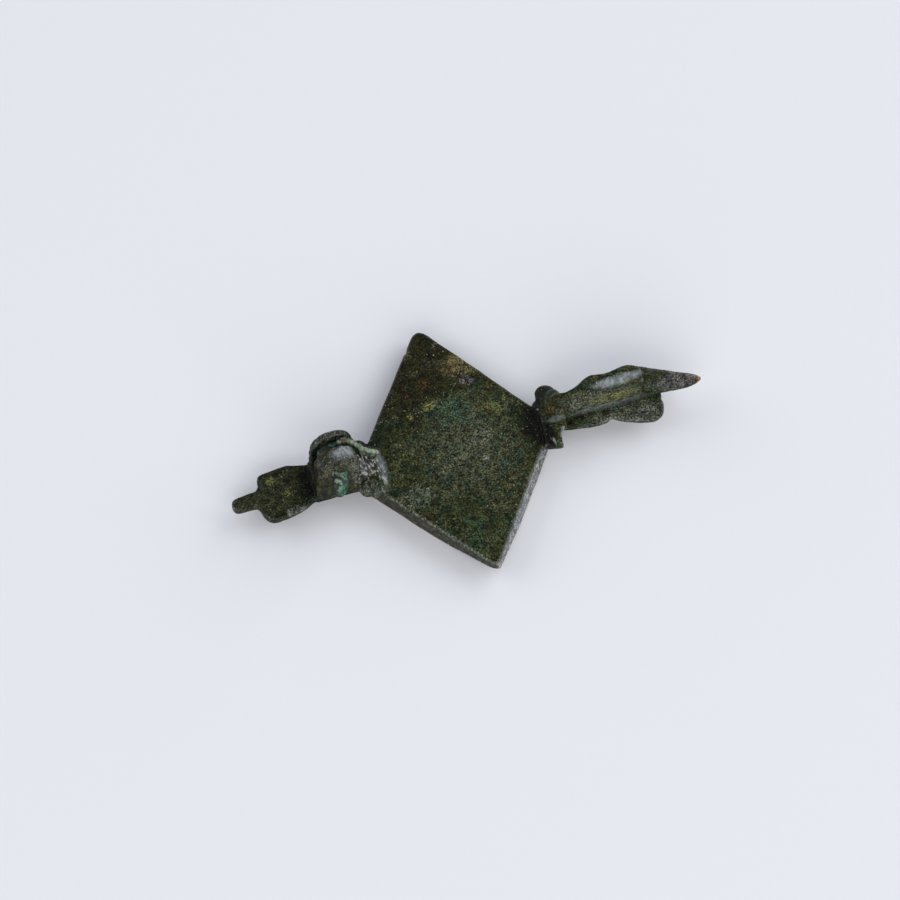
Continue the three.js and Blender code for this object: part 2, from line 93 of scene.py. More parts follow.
# The crust that has crept from the hinge's slot down over the root of the lug.
RIDGE = (
    (-10.9, 1.0, 7.2),
    (-9.7, 1.05, 6.5),
    (-9.0, 1.1, 5.2),
    (-8.6, 1.1, 4.4),
    (-7.9, 1.1, 3.55),
    (-7.2, 1.05, 3.1),
)
RIDGE_RADIUS = 0.25
RIDGE_MARGIN = 0.45  # how far its paint reaches past its path

# Stains of the patina: tint, strength, middle and reach.
PLATE_STAINS = (
    ("tan", 0.6, (2.7, 8.1, BACK), (2.2, 1.6, 1)),
    ("plum", 0.6, (3.0, 6.3, BACK), (1.0, 0.7, 1)),
    ("rust", 0.25, (-1.1, 7.1, BACK), (0.55, 0.5, 1)),
    ("rust", 0.25, (-2.9, 6.4, BACK), (0.4, 0.3, 1)),
    ("rust", 0.25, (4.7, 5.3, BACK), (0.6, 0.4, 1)),
    ("lichen", 0.55, (-1.1, 4.7, BACK), (0.8, 0.55, 1)),
    ("lichen", 0.5, (-3.2, 4.0, BACK), (0.3, 0.4, 1)),
    ("lichen", 0.55, (5.8, 3.6, BACK), (0.3, 0.4, 1)),
    ("lichen", 0.25, (4.4, 2.8, BACK), (1.2, 1.2, 1)),
    ("teal", 0.55, (1.0, 3.9, BACK), (2.4, 2.0, 1)),
    ("ash_and_sheen", 0.12, (1.2, -0.4, BACK), (6.5, 6.5, 1)),
    ("ash_and_sheen", 0.25, (2.8, 0.2, BACK), (1.6, 1.3, 1)),
    ("bone", 0.2, (2.4, -2.0, BACK), (0.5, 0.4, 1)),
    ("ash_and_sheen", 0.24, (-4.8, -4.2, BACK), (2.4, 1.6, 1)),
    ("umber", 0.6, (-4.7, -6.6, BACK), (1.0, 1.0, 1)),
    ("teal", 0.25, (-0.8, -8.3, BACK), (2.0, 1.8, 1)),
    ("teal", 0.3, (-0.8, -10.6, BACK), (1.5, 1.5, 1)),
    ("worn", 0.7, (-0.2, -12.9, 1.2), (1.3, 0.6, 1.2)),
    ("rust", 0.25, (-5.8, -4.7, BACK), (0.15, 0.15, 1)),
)
TERMINAL_STAINS = (
    ("slate", 0.3, (-17.5, 0.0, BACK), (4.0, 3.2, 1)),
    ("lichen", 0.6, (-17.6, 1.4, BACK), (0.6, 0.5, 1)),
    ("lichen", 0.7, (-16.3, -0.3, BACK), (0.5, 0.5, 1)),
    ("ash_and_sheen", 0.55, (-15.7, -2.3, 2.0), (1.5, 0.8, 0.7)),
    ("worn", 0.5, (-21.6, -0.2, 1.5), (0.35, 0.9, 1.5)),
    ("plum", 0.55, (22.0, 0.3, 3.5), (3.4, 1.2, 1.8)),
    ("ash_and_sheen", 0.55, (16.5, -1.6, 2.3), (5.5, 1.6, 0.9)),
    ("umber", 0.8, (19.2, 0.3, 4.6), (1.2, 1.0, 0.7)),
    ("worn", 0.75, (24.3, 0.3, 2.7), (0.7, 0.8, 0.9)),
    ("worn", 0.6, (20.5, -0.9, 2.0), (0.4, 0.8, 0.6)),
)
HINGE_STAINS = (
    ("ash_and_sheen", 0.4, (-11.6, -1.3, 6.2), (2.4, 0.9, 2.8)),
    ("ash_and_sheen", 0.3, (-12.0, 2.0, 7.0), (3.2, 0.9, 2.0)),
    ("umber", 0.6, (-12.0, -1.4, 5.6), (2.6, 0.8, 3.0)),
    ("rust", 0.35, (-13.1, -0.3, 6.4), (0.35, 0.4, 0.45)),
    ("rust", 0.3, (-13.4, -0.6, 7.3), (0.3, 0.4, 0.35)),
    ("plum", 0.4, (-8.7, -0.1, 3.7), (1.5, 1.5, 1.2)),
    ("green", 0.8, (-8.9, -2.3, 2.3), (1.1, 1.0, 1.1)),
)
CATCH_STAINS = (
    ("ash_and_sheen", 0.4, (14.5, 0.2, 3.9), (5.5, 1.3, 2.2)),
    ("umber", 0.7, (10.0, 0.5, 3.2), (1.6, 0.9, 1.0)),
    ("rust", 0.3, (10.0, 0.5, 3.2), (1.4, 0.5, 0.9)),
    ("lichen", 0.5, (15.4, 0.1, 3.9), (3.2, 1.0, 1.3)),
    ("green", 0.6, (9.6, 2.3, 3.0), (1.5, 1.4, 1.2)),
    ("malachite", 0.5, (9.4, 1.1, 3.2), (0.35, 0.35, 0.5)),
)
SHADED = (  # painted shade by the crossbars, lugs and crust, and black corrosion in three pits
    # black corrosion in two pits on the plate
    ("soot_and_shade", 0.9, (-4.7, -6.6, BACK), (0.35, 0.45, 1)),
    ("soot_and_shade", 0.8, (0.3, 10.0, BACK), (0.4, 0.4, 1)),
    # painted shadow of the east crossbar on the plate's corner
    ("soot_and_shade", 0.92, (8.2, 0.1, BACK), (2.7, 3.6, 0.9)),
    # black corrosion in a pit on the west terminal
    ("soot_and_shade", 0.8, (-16.0, 1.0, BACK), (0.4, 0.4, 1)),
    # painted shadow of the hinge lugs on the west terminal's neck
    ("soot_and_shade", 0.8, (-14.2, 0.2, BACK), (1.3, 2.4, 1.2)),
    # painted shade in the gap between the crept crust and the lug
    ("soot_and_shade", 0.9, (-8.2, 0.4, 3.4), (0.4, 0.4, 0.5)),
    ("soot_and_shade", 0.8, (-8.6, 0.55, 3.9), (1.7, 0.3, 1.1)),
    # painted shade on the west side of the east crossbar and about its north knob
    ("soot_and_shade", 0.95, (8.6, -1.8, 2.75), (1.0, 2.2, 1.3)),
    ("soot_and_shade", 0.6, (9.2, 2.6, 2.9), (1.7, 1.7, 1.4)),
)
PALE_CRUST_AND_SHEEN = (  # laid over the fine grain: whitish crust, and painted sheen of the window on crests and facets of hinge and catch that face it
    # painted sheen on the lug's top and on the slope by its root
    ("bloom_and_sheen", 0.5, (-10.9, -0.3, 7.4), (1.5, 0.8, 1.1)),
    ("bloom_and_sheen", 0.25, (-9.0, -0.6, 3.8), (0.5, 1.0, 1.2)),
    # painted sheen on the crossbar's facet by the hinge, which faces the window
    ("bloom_and_sheen", 0.35, (-7.0, -0.3, 2.9), (0.75, 2.8, 0.8)),
    ("bone", 0.5, (-7.3, -1.8, 2.7), (0.3, 0.7, 0.6)),
    # painted sheen on the catchplate's fold
    ("bloom_and_sheen", 0.5, (16.0, 0.6, 5.95), (3.2, 0.55, 1.3)),
    # pale crust on the crossbar by the catch
    ("bloom_and_sheen", 0.22, (9.9, -0.35, 3.1), (1.3, 0.35, 0.7)),
    ("bone", 0.45, (8.95, -2.5, 3.0), (0.13, 0.5, 0.5)),
    # painted sheen on the east side of that crossbar's south end
    ("bloom_and_sheen", 0.75, (10.1, -2.2, 2.85), (0.5, 1.3, 0.5)),
    ("bone", 0.6, (8.5, 1.4, BACK), (0.13, 0.13, 0.4)),
)

# The stage, in metres.
TABLE_SIZE = 3
TABLE_GAP = 0.02 * MM  # keeps the table's top clear of the brooch's front
LOOKED_AT = Vector((-0.24, 0.84, 0)) * MM
LAMPS = (  # name, place, size, the setting that holds a power, its share of that, and colour
    ("window", (0.86, 0.2, 0.5), (1.3, 0.9), "key_power", 1.0, (0.98, 0.99, 1.0)),
    ("south_fill", (-0.1, -0.84, 0.5), (1.4, 0.8), "fill_power", 1.9, (1.0, 0.98, 0.95)),
    ("west_fill", (-0.76, 0.48, 0.48), (1.0, 0.8), "fill_power", 1.0, (0.97, 0.98, 1.0)),
)


# ------------------------------------------------------------------ settings


def linear(hex_colour):
    """A colour written as in a paint chart, #rrggbb, as the linear values that a shader takes."""
    channels = [int(hex_colour[i : i + 2], 16) / 255 for i in (1, 3, 5)]
    return tuple(c / 12.92 if c <= 0.04045 else ((c + 0.055) / 1.055) ** 2.4 for c in channels)


def tint(name, description, value):
    """A colour setting."""
    return bpy.props.FloatVectorProperty(
        name=name, description=description, subtype="COLOR", size=3, min=0, max=1,
        default=linear(value),
    )


class BroochSkinSettings(bpy.types.PropertyGroup):
    """Sizes of the metal's surface, in millimetres."""

    grain: bpy.props.FloatProperty(
        name="Skin grain", description="Width of one facet of the casting's fine skin",
        default=0.125, min=0.1, max=0.5,
    )
    waviness: bpy.props.FloatProperty(
        name="Waviness", description="Height of the slow unevenness of the casting",
        default=0.1, min=0, max=0.5,
    )
    pitting: bpy.props.FloatProperty(
        name="Pitting", description="Depth of the fine corrosion pits",
        default=0.05, min=0, max=0.5,
    )
    crust: bpy.props.FloatProperty(
        name="Crust", description="Height of the crust on the hinge and by the catch",
        default=0.16, min=0, max=0.6,
    )
    pin_grain: bpy.props.FloatProperty(
        name="Pin grain", description="Width of one facet of the skin on axis stump and pin eye",
        default=0.06, min=0.04, max=0.2,
    )
    axis_crust: bpy.props.FloatProperty(
        name="Axis crust", description="Height of the crust on the axis stump",
        default=0.3, min=0, max=0.6,
    )
    eye_crust: bpy.props.FloatProperty(
        name="Eye crust", description="Height of the crust on the pin's eye",
        default=0.25, min=0, max=0.6,
    )


class BroochPatinaSettings(bpy.types.PropertyGroup):
    """Colours of the corroded bronze."""

    olive: tint("Olive", "Main tone of the patina", "#282c16")
    umber: tint("Umber", "Brown tone in the north corner and on the hinge", "#332b12")
    green: tint("Green", "Dark green tone", "#17281a")
    slate: tint("Slate", "Grey patches where the patina has thinned", "#3d3f2e")
    teal: tint("Teal", "Blue-green patches", "#27402f")
    tan: tint("Tan", "Pinkish brown patch", "#665c3f")
    plum: tint("Plum", "Purple-grey crust", "#5c565c")
    lichen: tint("Yellow green", "Yellow-green spots", "#6c6c36")
    rust: tint("Rust", "Orange-brown spots", "#6e4424")
    # Also the colour of the painted shade: by crossbars and lugs, on the plate's side towards the
    # hinge and on the axis stump's west side.
    soot_and_shade: tint("Black", "Black corrosion in corners and pits", "#070706")
    # Ash is also the grey in the painted sheen towards the catch and in the painted highlight along
    # the rim towards the hinge.
    ash_and_sheen: tint("Ash", "Coarse grey patches", "#6d7068")
    # Painted sheen: the window's reflection on the plate's side towards the catch.
    window_sheen: tint("Steel", "Blue-grey side of the plate towards the catch", "#6e7176")
    pale: tint("Pale specks", "Specks of light corrosion", "#aaa988")
    malachite: tint("Malachite", "Green crust", "#35705a")
    mint: tint("Mint crust", "Pale green crust", "#919c88")
    bone: tint("Bone crust", "Whitish crust on ridges", "#c3c3ba")
    # Mostly painted sheen of the window on facets and crests that face it, with a little pale crust
    # on the crossbar by the catch.
    bloom_and_sheen: tint("Frost", "Pale blue-grey bloom on crests", "#b3bcc4")
    worn: tint("Worn metal", "Warm metal on worn tips and rims", "#77583a")


class BroochStageSettings(bpy.types.PropertyGroup):
    """The table, the light and the camera."""

    floor: tint("Table", "Colour of the pale table", "#dddee4")
    key_power: bpy.props.FloatProperty(
        name="Window power", description="Power of the window light",
        default=8.6, min=0, unit="POWER",
    )
    fill_power: bpy.props.FloatProperty(
        name="Fill power", description="Power that the two fill lights take their shares of",
        default=4.4, min=0, unit="POWER",
    )
    room: bpy.props.FloatProperty(
        name="Room light", description="Strength of the room's light", default=0.36, min=0,
    )
    azimuth: bpy.props.FloatProperty(
        name="View azimuth", description="Turn of the camera round the brooch",
        default=math.radians(16.5), subtype="ANGLE",
    )
    elevation: bpy.props.FloatProperty(
        name="View elevation", description="Height of the camera as an angle",
        default=math.radians(63), subtype="ANGLE",
    )
    distance: bpy.props.FloatProperty(
        name="View distance", description="Distance of the camera", default=0.3, unit="LENGTH",
    )
    lens: bpy.props.FloatProperty(
        name="Lens", description="Focal length in millimetres", default=127.44,
    )


# ------------------------------------------------------------------ painting with nodes


class Paint:
    """A material built from nodes, with patterns laid out in the brooch's own millimetres."""

    def __init__(self, name, seed=0.0):
        self.material = bpy.data.materials.new(name)
        self.material.use_nodes = True
        self.tree = self.material.node_tree
        self.surface = self.tree.nodes["Principled BSDF"]
        coordinates = self.node("ShaderNodeTexCoord")
        mapping = self.node("ShaderNodeMapping")
        mapping.inputs["Scale"].default_value = (1 / MM,) * 3
        self.link(coordinates.outputs["Object"], mapping.inputs["Vector"])
        self.place = mapping.outputs["Vector"]
        self.seed = seed

    def node(self, kind, **settings):
        made = self.tree.nodes.new(kind)
        for key, value in settings.items():
            setattr(made, key, value)
        return made

    def link(self, source, target):
        self.tree.links.new(source, target)

    def put(self, value, socket):
        """Sets a socket to a number or colour, or links it to another node's result."""
        if isinstance(value, bpy.types.NodeSocket):
            self.link(value, socket)
        elif hasattr(value, "__len__") and len(value) == 3 and len(socket.default_value) == 4:
            socket.default_value = (*value, 1)
        else:
            socket.default_value = value

    def arithmetic(self, operation, *values):
        """A sum on numbers, such as ADD or MULTIPLY."""
        made = self.node("ShaderNodeMath", operation=operation)
        for value, socket in zip(values, made.inputs):
            self.put(value, socket)
        return made.outputs[0]

    def times(self, *values):
        """The product of any number of values."""
        result = values[0]
        for value in values[1:]:
            result = self.arithmetic("MULTIPLY", result, value)
        return result

    def vector(self, operation, *values):
        """A sum on vectors, such as ADD, LENGTH or DOT_PRODUCT."""
        made = self.node("ShaderNodeVectorMath", operation=operation)
        for value, socket in zip(values, made.inputs):
            self.put(value, socket)
        return made.outputs["Value" if operation in ("LENGTH", "DOT_PRODUCT") else "Vector"]

    def noise(self, size, detail=2.0, roughness=0.55, colour=False, stretch=(1, 1, 1)):
        """Cloudy noise in patches about size millimetres across, from 0 to 1, new at each call."""
        self.seed += 7.3
        moved = self.node("ShaderNodeMapping")
        self.link(self.place, moved.inputs["Vector"])
        moved.inputs["Location"].default_value = (self.seed, self.seed * 0.37, -self.seed * 0.61)
        moved.inputs["Scale"].default_value = stretch
        made = self.node("ShaderNodeTexNoise")
        self.link(moved.outputs["Vector"], made.inputs["Vector"])
        made.inputs["Scale"].default_value = 1 / size
        made.inputs["Detail"].default_value = detail
        made.inputs["Roughness"].default_value = roughness
        return made.outputs["Color" if colour else "Fac"]

    def cells(self, size, at):
        """Scattered cells about size millimetres across: how far from a middle, random colour."""
        made = self.node("ShaderNodeTexVoronoi")
        self.link(at, made.inputs["Vector"])
        made.inputs["Scale"].default_value = 1 / size
        return made.outputs["Distance"], made.outputs["Color"]

    def between(self, value, low, high, to=(0.0, 1.0)):
        """Carries low..high smoothly over to 0..1, or to the two values given."""
        made = self.node("ShaderNodeMapRange", interpolation_type="SMOOTHSTEP")
        for socket, number in zip(made.inputs, (value, low, high, *to)):
            self.put(number, socket)
        return made.outputs[0]

    def mix(self, share, first, second):
        made = self.node("ShaderNodeMix", data_type="RGBA")
        self.put(share, made.inputs["Factor"])
        self.put(first, made.inputs["A"])
        self.put(second, made.inputs["B"])
        return made.outputs["Result"]

    def over(self, colour, coat, *masks):
        """Lays a coat over a colour, as dense as the product of the masks."""
        return self.mix(self.times(*masks), colour, coat)

    def brighten(self, colour, by):
        """A colour times a factor that may vary."""
        made = self.node("ShaderNodeVectorMath", operation="SCALE")
        self.put(colour, made.inputs[0])
        self.put(by, made.inputs["Scale"])
        return made.outputs["Vector"]

    def warped(self, amount, size):
        """The place, pushed about by noise, so that patches have ragged edges."""
        push = self.vector("SUBTRACT", self.noise(size, 3.0, colour=True), (0.5, 0.5, 0.5))
        longer = self.vector("MULTIPLY", push, (amount,) * 3)
        return self.vector("ADD", self.place, longer)

    def patch(self, centre, reach, at, soft=0.5):
        """1 inside an ellipsoid about centre, falling to 0 at its edge over the soft share of it."""
        away = self.vector("SUBTRACT", at, centre)
        share = self.vector("MULTIPLY", away, tuple(1 / r for r in reach))
        return self.between(self.vector("LENGTH", share), 1 - soft, 1.0, (1.0, 0.0))

    def beyond(self, direction, start, full, to=(0.0, 1.0)):
        """The first value where the place has come less than start along a direction, the second
        from full onwards."""
        return self.between(self.vector("DOT_PRODUCT", self.place, direction), start, full, to)

    def stained(self, colour, stains, at, crumbs):
        """Lays stains over a colour, each broken up by crumbs."""
        tone = bpy.context.scene.brooch_patina
        for name, strength, centre, reach in stains:
            patch = self.patch(centre, reach, at, soft=0.6)
            colour = self.over(colour, getattr(tone, name), patch, strength, crumbs)
        return colour

    def attribute(self, name):
        return self.node("ShaderNodeAttribute", attribute_name=name).outputs["Fac"]

    def finish(self, colour, roughness, height, depth, specular=0.3):
        """Puts colour, roughness and a bump of some depth in millimetres on the surface."""
        self.put(colour, self.surface.inputs["Base Color"])
        self.put(roughness, self.surface.inputs["Roughness"])
        self.surface.inputs["Specular IOR Level"].default_value = specular
        bump = self.node("ShaderNodeBump")
        bump.inputs["Strength"].default_value = 1.0
        bump.inputs["Distance"].default_value = depth * MM
        self.put(height, bump.inputs["Height"])
        self.link(bump.outputs["Normal"], self.surface.inputs["Normal"])
        return self.material


# ------------------------------------------------------------------ the finishes


def side(first, second):
    """The outward direction of the plate's side from one corner to the next, anticlockwise."""
    run = Vector((second[0] - first[0], second[1] - first[1]))
    return Vector((run.y, -run.x, 0)).normalized()


def mottled_ground(paint, tone, ragged):
    """Olive with dark green, brown and grey in it, darker towards the north-west."""
    greenish = paint.between(paint.noise(1.4, 3.0), 0.46, 0.64)
    colour = paint.over(tone.olive, tone.green, greenish)
    brownish = paint.between(paint.noise(0.9, 4.0, 0.6), 0.52, 0.68, (0.0, 0.45))
    colour = paint.over(colour, tone.umber, brownish)
    north_corner = paint.patch((-2.0, 9.5, BACK), (9.5, 6.0, 6), ragged, soft=0.6)
    colour = paint.over(colour, tone.umber, north_corner, 0.5)
    colour = paint.brighten(colour, paint.beyond(TO_NORTH_WEST, 2.0, 6.5, (1.0, 0.45)))
    greyish = paint.between(paint.noise(2.0, 4.0, 0.6), 0.5, 0.7)
    return paint.over(colour, tone.slate, greyish, 0.5)


def plate_sides(paint, tone, colour, crumbs):
    """Southern sides: blue-grey painted sheen towards the catch, painted shade and a rim highlight
    towards the hinge.

    All round, the lower rim is worn to warm metal.
    """
    low = paint.times(paint.beyond(DOWN, -2.4, -2.15), paint.beyond(TO_SOUTH, 0.5, 1.2))
    catch_side = paint.beyond(side(SOUTH, EAST), 7.62, 7.85)
    hinge_side = paint.beyond(side(WEST, SOUTH), 7.6, 7.85)
    on_plate = paint.times(paint.beyond(TO_WEST, -10.2, -9.9), paint.beyond(TO_EAST, -10.4, -10.0))
    band = paint.times(low, on_plate)
    # Painted sheen of the window on the side towards the catch, which faces it.
    blue_grey = paint.mix(crumbs, tone.ash_and_sheen, tone.window_sheen)
    colour = paint.over(colour, blue_grey, band, catch_side, 0.9)
    # Painted shade on the side towards the hinge, which faces away from the window.
    dark = paint.over(tone.soot_and_shade, tone.slate, crumbs, 0.6)
    colour = paint.over(colour, dark, band, hinge_side, 0.9)
    # A painted highlight along the upper rim of that side.
    rim_highlight = paint.times(paint.beyond(UP, 2.05, 2.2), hinge_side, on_plate, crumbs)
    colour = paint.over(colour, tone.ash_and_sheen, rim_highlight, 0.3)
    lower_rim = paint.times(paint.beyond(DOWN, -0.55, -0.2), 0.55)
    return paint.over(colour, tone.worn, lower_rim, crumbs)


def root_of_lug(paint, tone, colour, ragged):
    """Crust over the root of the lug, streaked black and white."""
    rocky = paint.patch((-8.2, -0.5, 3.7), (2.6, 2.6, 2.0), ragged)
    streaks = paint.noise(0.25, 4.0, 0.7, stretch=(1.0, 0.5, 0.5))
    colour = paint.over(colour, tone.soot_and_shade, rocky, paint.between(streaks, 0.5, 0.38), 0.85)
    return paint.over(colour, tone.bone, rocky, paint.between(streaks, 0.53, 0.66), 0.8)


def crept_crust(paint, tone, colour, crumbly):
    """The crust that has crept over the hinge: pale green, with malachite, rust and olive."""
    for first, second in zip(RIDGE, RIDGE[1:]):
        middle = tuple((a + b) / 2 for a, b in zip(first, second))
        reach = tuple(abs(a - b) / 2 + RIDGE_MARGIN for a, b in zip(first, second))
        green = paint.between(paint.noise(0.45, 3.0), 0.48, 0.66)
        crust = paint.over(tone.mint, tone.malachite, green)
        rusty = paint.between(paint.noise(0.4, 2.0), 0.6, 0.68)
        crust = paint.over(crust, tone.rust, rusty)
        dirty = paint.between(paint.noise(0.3, 3.0), 0.48, 0.62, (0.0, 0.55))
        crust = paint.over(crust, tone.olive, dirty)
        colour = paint.over(colour, crust, paint.patch(middle, reach, crumbly, soft=0.3))
    return colour


def bronze_patina():
    """Dark olive bronze with stains, pale specks, grey sides and pale crust, and painted shade and
    sheen.
    """
    tone = bpy.context.scene.brooch_patina
    paint = Paint("corroded_bronze")
    ragged = paint.warped(0.9, 0.8)
    crumbly = paint.warped(0.45, 0.35)
    crumbs = paint.between(paint.noise(0.4, 4.0, 0.65), 0.36, 0.6, (0.35, 1.0))

    colour = mottled_ground(paint, tone, ragged)
    stains = PLATE_STAINS + TERMINAL_STAINS + HINGE_STAINS + CATCH_STAINS
    colour = paint.stained(colour, stains, ragged, crumbs)
    # Painted shade by the crossbars, lugs and crust, and black pits.
    colour = paint.stained(colour, SHADED, ragged, 1.0)
    # Painted sheen and shade on the plate's southern sides.
    colour = plate_sides(paint, tone, colour, crumbs)

    # Fine grain, murkier in places, with pale specks in drifts.
    murk = paint.between(paint.noise(0.7, 4.0, 0.65), 0.42, 0.62, (1.15, 0.45))
    fine = paint.noise(0.17, 3.0, 0.65)
    grain = paint.between(fine, 0.36, 0.7, (0.12, 3.1))
    colour = paint.brighten(colour, paint.times(grain, murk))
    drifts = paint.between(paint.noise(3.5, 2.0), 0.38, 0.6, (0.25, 1.0))
    away, chance = paint.cells(0.22, crumbly)
    dots = paint.between(away, 0.08, 0.3, (1.0, 0.0))
    specks = paint.times(dots, paint.between(chance, 0.48, 0.8), drifts)
    colour = paint.over(colour, tone.pale, specks, 0.85)

    # Whitish crust, and painted sheen of the window on crests and facets that face it.
    colour = paint.stained(colour, PALE_CRUST_AND_SHEEN, crumbly, crumbs)
    colour = root_of_lug(paint, tone, colour, ragged)
    colour = crept_crust(paint, tone, colour, crumbly)

    # A painted highlight along the ridge where the catchplate's foot meets the leaf.
    foot = paint.patch((15.0, 0.02, 2.45), (6.5, 0.45, 0.6), paint.place, soft=0.9)
    colour = paint.over(colour, tone.bloom_and_sheen, foot, crumbs, 0.3)

    # The skin's own relief: paler crests and darker hollows.
    relief = paint.attribute("relief")
    crest = paint.between(relief, 0.05, 0.12)
    colour = paint.over(colour, tone.bone, crest, 0.12)
    hollow = paint.between(relief, -0.012, -0.06)
    colour = paint.brighten(colour, paint.arithmetic("SUBTRACT", 1.0, paint.times(hollow, 0.5)))

    roughness = paint.between(paint.noise(0.5, 3.0), 0.3, 0.7, (0.3, 0.46))
    height = paint.arithmetic("ADD", fine, paint.times(paint.noise(0.09, 2.0), 0.5))
    return paint.finish(colour, roughness, height, depth=0.045, specular=0.1)


def green_crust():
    """Mottled green crust on the stump of the axis bar, mint on its crown, painted shade, black, to
    the west.
    """
    tone = bpy.context.scene.brooch_patina
    paint = Paint("malachite_crust", seed=60.0)
    mottle = paint.noise(0.45, 4.0, 0.6)
    colour = paint.over(tone.green, tone.malachite, paint.between(mottle, 0.45, 0.66))
    crown = paint.beyond((-0.5, 0.3, 1), AXIS_HIGH.z + 4.5, AXIS_HIGH.z + 5.3)
    minty = paint.between(mottle, 0.45, 0.6, (0.0, 0.8))
    colour = paint.over(colour, tone.mint, crown, minty)
    flecks = paint.between(paint.noise(0.3, 2.0), 0.66, 0.78, (0.0, 0.6))
    colour = paint.over(colour, tone.pale, flecks)
    # Painted shade: the stump's west side, away from the window, is painted black.
    west_face = paint.beyond(TO_WEST, -AXIS_LOW.x - 0.5, -AXIS_LOW.x)
    colour = paint.over(colour, tone.soot_and_shade, west_face)
    return paint.finish(colour, 0.5, paint.noise(0.12, 3.0), depth=0.06, specular=0.4)


def dark_crust():
    """Dark crust with rust-red and green spots, down in the slot of the hinge."""
    tone = bpy.context.scene.brooch_patina
    paint = Paint("hinge_crust", seed=90.0)
    greenish = paint.between(paint.noise(0.5, 3.0), 0.4, 0.6)
    colour = paint.over(tone.olive, tone.green, greenish)
    spots = paint.between(paint.noise(0.7, 2.0), 0.58, 0.66)
    colour = paint.over(colour, tone.malachite, spots)
    rusty = paint.patch((-10.8, 1.0, 7.7), (1.2, 0.8, 0.8), paint.warped(0.6, 0.4))
    colour = paint.over(colour, tone.rust, rusty, 0.85)
    return paint.finish(colour, 0.6, paint.noise(0.12, 3.0), depth=0.06)


# ------------------------------------------------------------------ skins


def only(piece):
    """Makes a piece the active object and the only one selected."""
    bpy.ops.object.select_all(action="DESELECT")
    piece.select_set(True)
    bpy.context.view_layer.objects.active = piece


def scaled(piece, factor):
    """Scales a piece about the origin, in its mesh."""
    only(piece)
    piece.scale = (factor,) * 3
    bpy.ops.object.transform_apply(location=False, rotation=False, scale=True)


def copy_of_solid(node, name):
    """A free copy of a solid in millimetres, its triangles joined at their corners."""
    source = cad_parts[node]
    piece = bpy.data.objects.new(name, source.data.copy())
    bpy.context.scene.collection.objects.link(piece)
    piece.data.materials.clear()
    scaled(piece, 1 / MM)
    bpy.ops.object.mode_set(mode="EDIT")
    bpy.ops.mesh.select_all(action="SELECT")
    bpy.ops.mesh.remove_doubles(threshold=0.002)
    bpy.ops.mesh.normals_make_consistent(inside=False)
    bpy.ops.object.mode_set(mode="OBJECT")
    return piece


def applied(piece, kind, **settings):
    """Adds a modifier with these settings and applies it."""
    only(piece)
    modifier = piece.modifiers.new(kind.title(), kind)
    for key, value in settings.items():
        setattr(modifier, key, value)
    bpy.ops.object.modifier_apply(modifier=modifier.name)


def fine_skin(piece, grain, rounding):
    """Rebuilds a piece as an even skin of small faces on its solid, worn by rounding steps."""
    only(piece)
    bpy.ops.object.duplicate()
    solid = bpy.context.object
    applied(piece, "REMESH", mode="VOXEL", voxel_size=grain, use_smooth_shade=True)
    for _ in range(2):
        applied(piece, "SMOOTH", factor=0.5, iterations=3)
        applied(piece, "SHRINKWRAP", target=solid, wrap_method="NEAREST_SURFACEPOINT")
    applied(piece, "SMOOTH", factor=0.5, iterations=rounding)
    bpy.data.objects.remove(solid)


def grown(piece, path, radius):
    """Joins a knotty string of crust to a piece, along a path."""
    bpy.ops.object.select_all(action="DESELECT")
    spacing = radius * 0.4
    knots = []
    for first, second in zip(path, path[1:]):
        first, second = Vector(first), Vector(second)
        count = math.ceil((second - first).length / spacing)
        for step in range(count):
            swell = 0.2 * math.sin(1.9 * len(knots)) * math.sin(0.7 * len(knots))
            middle = first.lerp(second, step / count)
            bpy.ops.mesh.primitive_ico_sphere_add(
                subdivisions=2, radius=radius * (1 + swell), location=middle
            )
            knots.append(bpy.context.object)
    only(piece)
    for knot in knots:
        knot.select_set(True)
    bpy.ops.object.join()


def points_of(piece):
    numbers = np.empty(len(piece.data.vertices) * 3, np.float32)
    piece.data.vertices.foreach_get("co", numbers)
    return numbers.reshape(-1, 3)


def near(points, centre, reach):
    """How near each point is to a centre: 1 there, falling smoothly to 0 at reach."""
    away = np.linalg.norm((points - np.array(centre)) / np.array(reach, float), axis=1)
    share = np.clip(1 - away, 0, 1)
    return share * share * (3 - 2 * share)


def group(piece, name, weights):
    """Adds a vertex group with one weight for each point, in steps of a hundredth."""
    made = piece.vertex_groups.new(name=name)
    levels = np.round(weights, 2)
    for level in np.unique(levels[levels > 0]):
        made.add(np.flatnonzero(levels == level).tolist(), float(level), "REPLACE")


def clouds(size, depth):
    """A cloudy pattern, about size millimetres from cloud to cloud, with depth finer layers."""
    made = bpy.data.textures.new("clouds", "CLOUDS")
    made.noise_scale = size
    made.noise_depth = depth
    return made


def displaced(piece, height, middle, pattern, where=""):
    """Moves a skin along its normals by a pattern, out above its middle value and in below it."""
    applied(
        piece, "DISPLACE", texture=pattern, texture_coords="LOCAL", strength=height,
        mid_level=middle, vertex_group=where,
    )


def keep_relief(piece):
    """Stores how far each point stands out of its surroundings, in millimetres, for the paint."""
    rounds, stay, follow = 12, 0.3, 0.7
    mesh = piece.data
    points = points_of(piece).astype(float)
    edges = np.empty(len(mesh.edges) * 2, np.int64)
    mesh.edges.foreach_get("vertices", edges)
    first, second = edges.reshape(-1, 2).T
    count = np.bincount(edges, minlength=len(points))[:, None]
    smooth = points.copy()
    for _ in range(rounds):
        total = np.zeros_like(smooth)
        np.add.at(total, first, smooth[second])
        np.add.at(total, second, smooth[first])
        smooth = stay * smooth + follow * total / count
    normals = np.empty(len(points) * 3, np.float32)
    mesh.vertices.foreach_get("normal", normals)
    relief = ((points - smooth) * normals.reshape(-1, 3)).sum(1)
    stored = mesh.attributes.new("relief", "FLOAT", "POINT")
    stored.data.foreach_set("value", relief.astype(np.float32))


